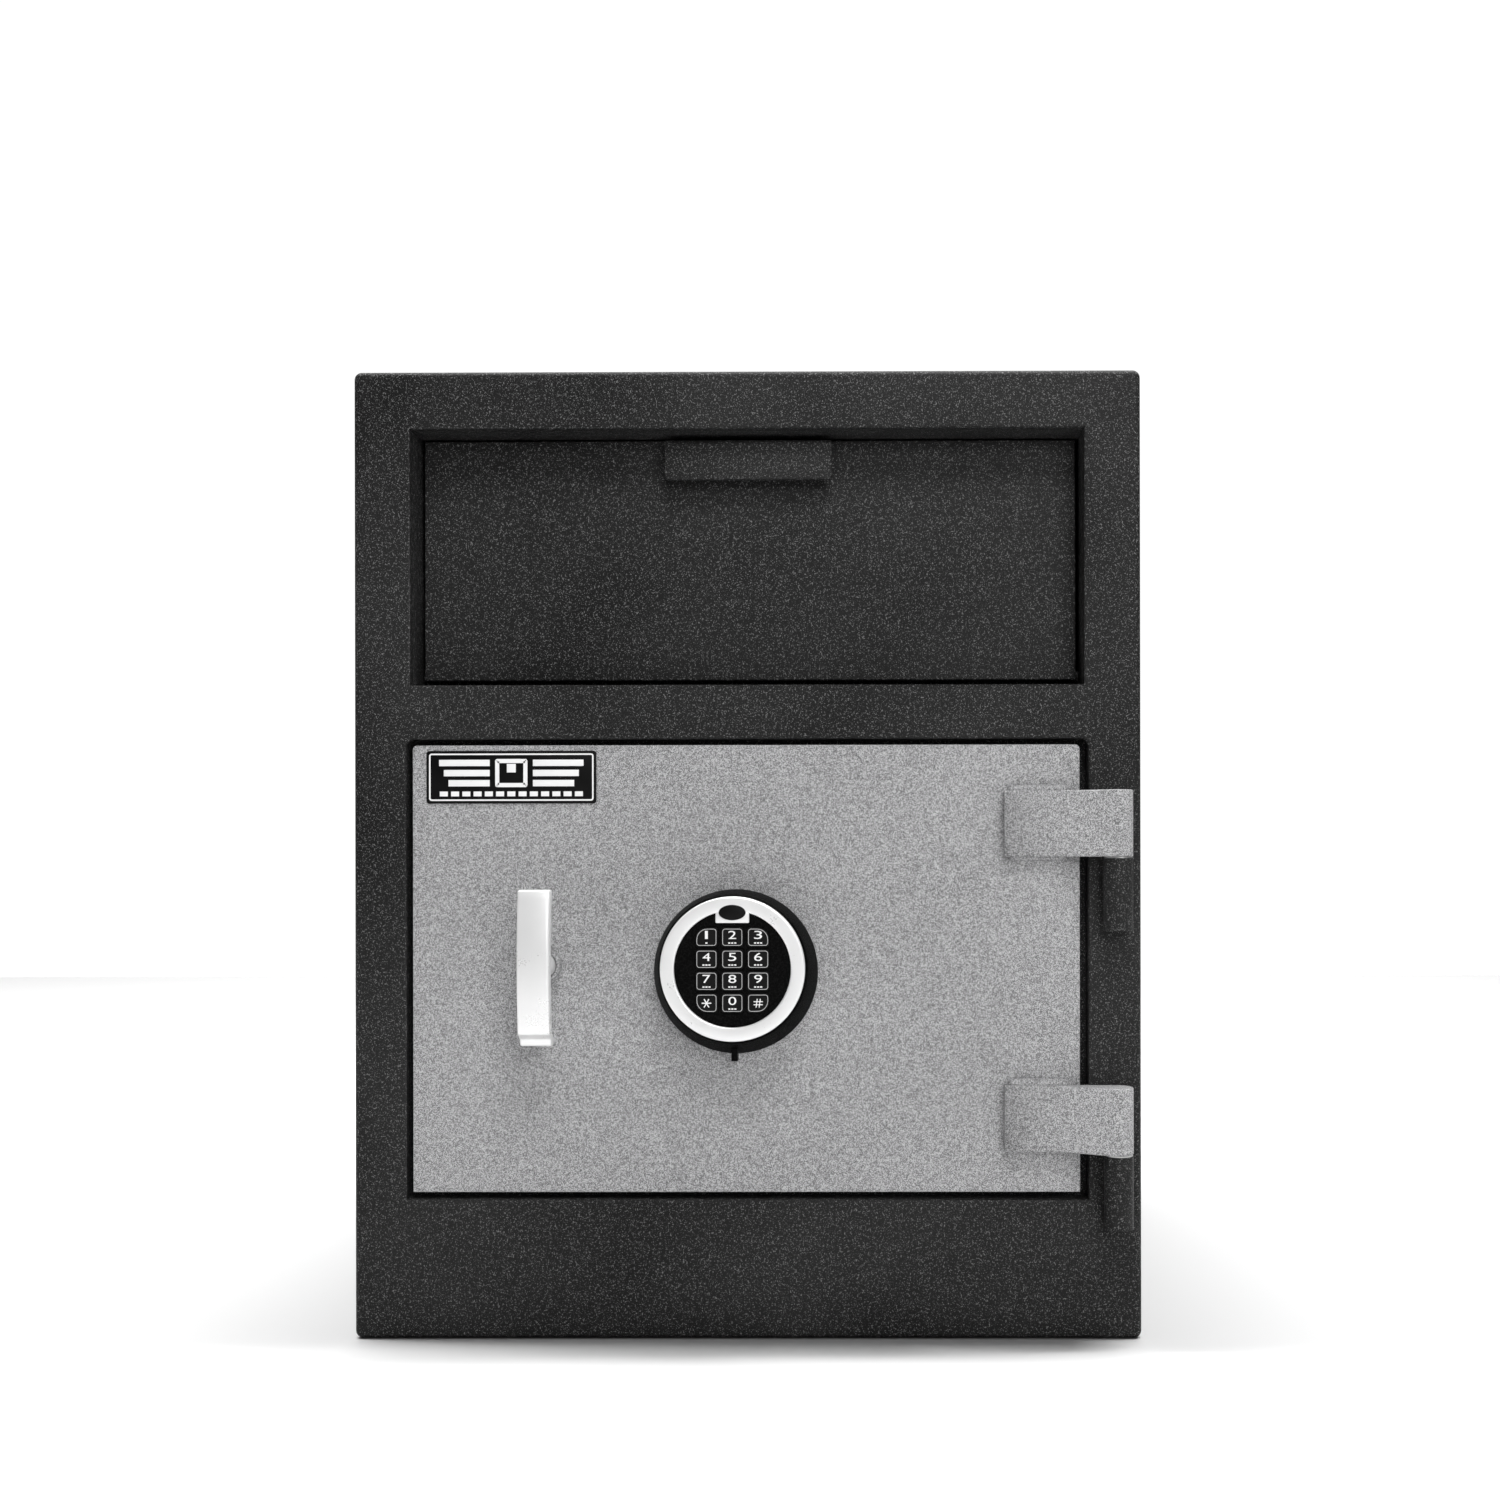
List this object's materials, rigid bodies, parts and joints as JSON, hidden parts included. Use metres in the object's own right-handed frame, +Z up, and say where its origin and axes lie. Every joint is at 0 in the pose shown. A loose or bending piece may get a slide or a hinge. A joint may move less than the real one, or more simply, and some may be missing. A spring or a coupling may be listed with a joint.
{
  "type": "front-loading drop safe",
  "caption": "Steel front-loading drop safe: tip-out deposit hopper with a pull tab above a recessed, externally hinged door with a bar handle, throw bolts and a round push-button keypad.",
  "frame": {"origin": "middle of the cabinet's footprint on the floor", "axes": "+Z up, the front with the door and hopper faces -Y, +X is to the right seen from the front"},
  "size_m": [0.419, 0.4375, 0.5152],
  "materials": {
    "body_black": "sandy textured powder coat, near black",
    "door_grey": "sandy textured powder coat, mid grey",
    "cover_grey": "textured powder coat, mid grey",
    "bright_steel": "zinc-plated steel",
    "hard_steel": "hardened plate, dark",
    "lock_cast": "die-cast lock body",
    "bush_brass": "turned bush",
    "handle_chrome": "satin chrome",
    "plate_black": "black plate, blank",
    "keypad_black": "black moulded plastic",
    "board_green": "circuit board",
    "cable_black": "cable jacket",
    "cell_wrap": "plain cell wrap",
    "buffer_rubber": "black rubber",
    "key_black": "silicone key, printed outline"
  },
  "bodies": {
    "cabinet": {"outer_shell": "body_black", "front_frame": "body_black", "back_panel": "body_black", "door_jamb": "body_black", "hopper_surround": "body_black", "hopper_pivot_rod": "bright_steel", "hopper_buffers": "buffer_rubber", "divider_shelf": "body_black", "chute_baffle": "body_black", "hinge_knuckle_upper": "body_black", "hinge_knuckle_lower": "body_black", "hinge_pins": "bright_steel", "hinge_washers": "bright_steel"},
    "hopper": {"hopper_panel": "body_black", "hopper_pull": "body_black", "hopper_tray": "body_black", "hopper_cheek_left": "body_black", "hopper_cheek_right": "body_black"},
    "door": {"door_plate": "door_grey", "hinge_strap_upper": "door_grey", "hinge_strap_lower": "door_grey", "name_plate": "plate_black", "door_pan": "door_grey", "door_back_cover": "cover_grey", "cover_screws": "bright_steel", "dead_bar": "door_grey", "hard_plate": "hard_steel", "lock_body": "lock_cast", "lock_screws": "bright_steel", "bolt_guides": "bright_steel", "handle_bush": "bush_brass", "keypad_base_plate": "keypad_black", "keypad_housing": "keypad_black", "keypad_board": "board_green", "keypad_cable": "cable_black", "keypad_ring": "handle_chrome", "keypad_badge": "plate_black", "keypad_face": "keypad_black"},
    "handle": {"handle_bar": "handle_chrome", "handle_spindle": "bright_steel", "bolt_cam": "bright_steel", "spindle_clip": "bright_steel"},
    "boltwork": {"bolt_carriage": "bright_steel", "locking_bolts": "bright_steel", "cam_follower": "bright_steel"},
    "lock_bolt": {"lock_bolt": "bright_steel"},
    "battery_drawer": {"battery_drawer": "keypad_black", "battery_cells": "cell_wrap"},
    "key_1": {"key_1": "key_black"},
    "key_2": {"key_2": "key_black"},
    "key_3": {"key_3": "key_black"},
    "key_4": {"key_4": "key_black"},
    "key_5": {"key_5": "key_black"},
    "key_6": {"key_6": "key_black"},
    "key_7": {"key_7": "key_black"},
    "key_8": {"key_8": "key_black"},
    "key_9": {"key_9": "key_black"},
    "key_star": {"key_star": "key_black"},
    "key_0": {"key_0": "key_black"},
    "key_hash": {"key_hash": "key_black"}
  },
  "joints": [
    {"name": "door_swing", "type": "hinge", "parent": "cabinet", "child": "door", "pos_m": [0.1957, -0.212, 0.1986], "axis": [0, 0, 1], "range_deg": [0, 110]},
    {"name": "hopper_tilt", "type": "hinge", "parent": "cabinet", "child": "hopper", "pos_m": [0, -0.173, 0.3545], "axis": [1, 0, 0], "range_deg": [0, 50]},
    {"name": "handle_turn", "type": "hinge", "parent": "door", "child": "handle", "pos_m": [-0.1071, -0.2015, 0.1991], "axis": [0, 1, 0], "range_deg": [0, 90]},
    {"name": "bolt_throw", "type": "slide", "parent": "door", "child": "boltwork", "axis": [-1, 0, 0], "range_m": [0, 0.018]},
    {"name": "lock_bolt_throw", "type": "slide", "parent": "door", "child": "lock_bolt", "axis": [-1, 0, 0], "range_m": [0, 0.013]},
    {"name": "battery_drawer_slide", "type": "slide", "parent": "door", "child": "battery_drawer", "axis": [0, 0, -1], "range_m": [0, 0.05]},
    {"name": "key_1_press", "type": "slide", "parent": "door", "child": "key_1", "axis": [0, 1, 0], "range_m": [0, 0.0008], "stiffness_N_per_m": 400},
    {"name": "key_2_press", "type": "slide", "parent": "door", "child": "key_2", "axis": [0, 1, 0], "range_m": [0, 0.0008], "stiffness_N_per_m": 400},
    {"name": "key_3_press", "type": "slide", "parent": "door", "child": "key_3", "axis": [0, 1, 0], "range_m": [0, 0.0008], "stiffness_N_per_m": 400},
    {"name": "key_4_press", "type": "slide", "parent": "door", "child": "key_4", "axis": [0, 1, 0], "range_m": [0, 0.0008], "stiffness_N_per_m": 400},
    {"name": "key_5_press", "type": "slide", "parent": "door", "child": "key_5", "axis": [0, 1, 0], "range_m": [0, 0.0008], "stiffness_N_per_m": 400},
    {"name": "key_6_press", "type": "slide", "parent": "door", "child": "key_6", "axis": [0, 1, 0], "range_m": [0, 0.0008], "stiffness_N_per_m": 400},
    {"name": "key_7_press", "type": "slide", "parent": "door", "child": "key_7", "axis": [0, 1, 0], "range_m": [0, 0.0008], "stiffness_N_per_m": 400},
    {"name": "key_8_press", "type": "slide", "parent": "door", "child": "key_8", "axis": [0, 1, 0], "range_m": [0, 0.0008], "stiffness_N_per_m": 400},
    {"name": "key_9_press", "type": "slide", "parent": "door", "child": "key_9", "axis": [0, 1, 0], "range_m": [0, 0.0008], "stiffness_N_per_m": 400},
    {"name": "key_star_press", "type": "slide", "parent": "door", "child": "key_star", "axis": [0, 1, 0], "range_m": [0, 0.0008], "stiffness_N_per_m": 400},
    {"name": "key_0_press", "type": "slide", "parent": "door", "child": "key_0", "axis": [0, 1, 0], "range_m": [0, 0.0008], "stiffness_N_per_m": 400},
    {"name": "key_hash_press", "type": "slide", "parent": "door", "child": "key_hash", "axis": [0, 1, 0], "range_m": [0, 0.0008], "stiffness_N_per_m": 400}
  ],
  "couplings": [
    {"joint": "bolt_throw", "follows": "handle_turn", "m_per_rad": 0.011459},
    {"joint": "lock_bolt_throw", "follows": "handle_turn", "m_per_rad": 0.0082761}
  ]
}
